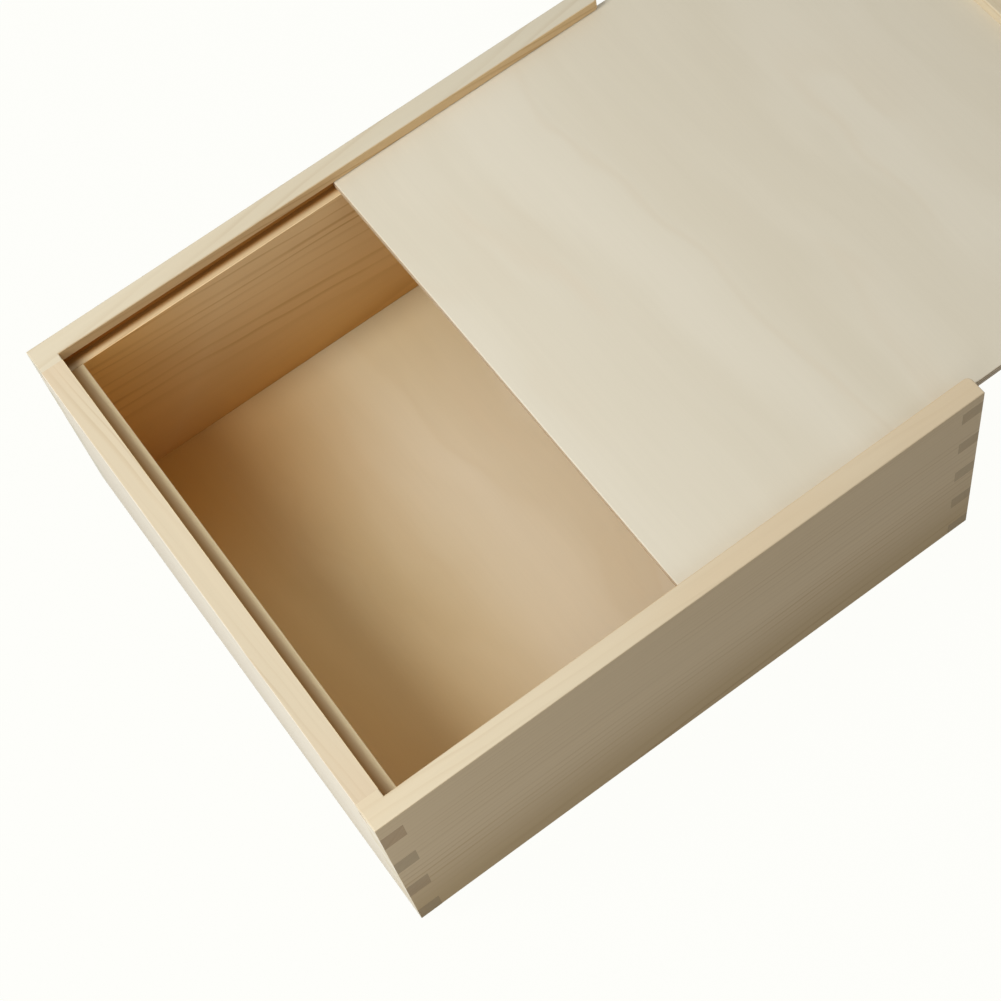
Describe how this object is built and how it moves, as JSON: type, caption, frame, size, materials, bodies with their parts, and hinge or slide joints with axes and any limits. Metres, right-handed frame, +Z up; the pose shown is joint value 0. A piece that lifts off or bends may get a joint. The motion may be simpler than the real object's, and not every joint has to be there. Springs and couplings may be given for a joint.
{
  "type": "sliding lid wooden box",
  "caption": "Open-topped wooden box with comb-jointed corners, whose plywood lid slides along grooves under the rim; a rail on the lid completes the rim when shut.",
  "frame": {"origin": "middle of the underside of the closed box, on the face that it stands on", "axes": "+X from the closed end towards the open end, the way the lid opens; +Z up; the long sides stand at +Y and -Y"},
  "size_m": [0.492, 0.3, 0.132],
  "materials": {
    "side_board": "planed and sanded pale softwood, unvarnished",
    "end_board": "planed and sanded pale softwood, unvarnished",
    "floor_plywood": "sanded pale plywood, unvarnished",
    "lid_plywood": "sanded pale plywood, unvarnished",
    "rail_wood": "planed and sanded pale softwood, unvarnished"
  },
  "bodies": {
    "box": {"near_side": "side_board", "far_side": "side_board", "closed_end": "end_board", "open_end": "end_board", "floor_panel": "floor_plywood"},
    "lid": {"lid_panel": "lid_plywood", "lid_rail": "rail_wood"}
  },
  "joints": [
    {"name": "lid_slide", "type": "slide", "parent": "box", "child": "lid", "axis": [1, 0, 0], "range_m": [-0.16, 0.15]}
  ]
}
